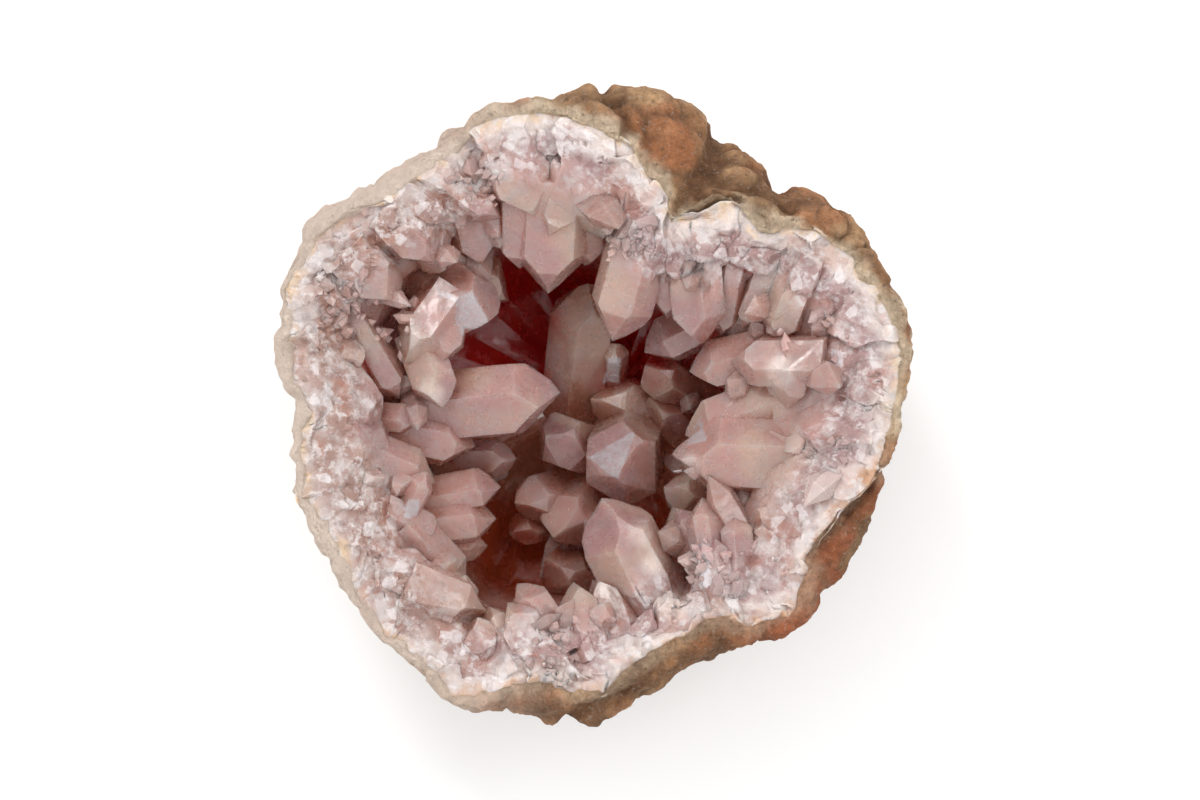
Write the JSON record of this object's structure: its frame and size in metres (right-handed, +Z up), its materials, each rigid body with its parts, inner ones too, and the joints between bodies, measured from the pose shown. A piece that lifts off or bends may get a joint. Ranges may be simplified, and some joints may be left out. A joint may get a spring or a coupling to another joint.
{
  "type": "geode half",
  "caption": "Half of a broken quartz geode lying on its rounded back: a lumpy brown stone rind lined with one crust of pale pink crystals around an open hollow.",
  "frame": {"origin": "on the surface it rests on, under the middle of the box around it", "axes": "+Z up out of the open hollow, +Y towards the far side of the rim, which is at the top of the view from above"},
  "size_m": [0.1052, 0.1076, 0.0563],
  "materials": {
    "rind_stone": "matt, lumpy and weathered brown stone",
    "pink_quartz": "glossy, milky, see-through at the edges, with rust-coloured stains"
  },
  "bodies": {
    "root": {"rind": "rind_stone", "crystal_crust": "pink_quartz"}
  },
  "joints": []
}
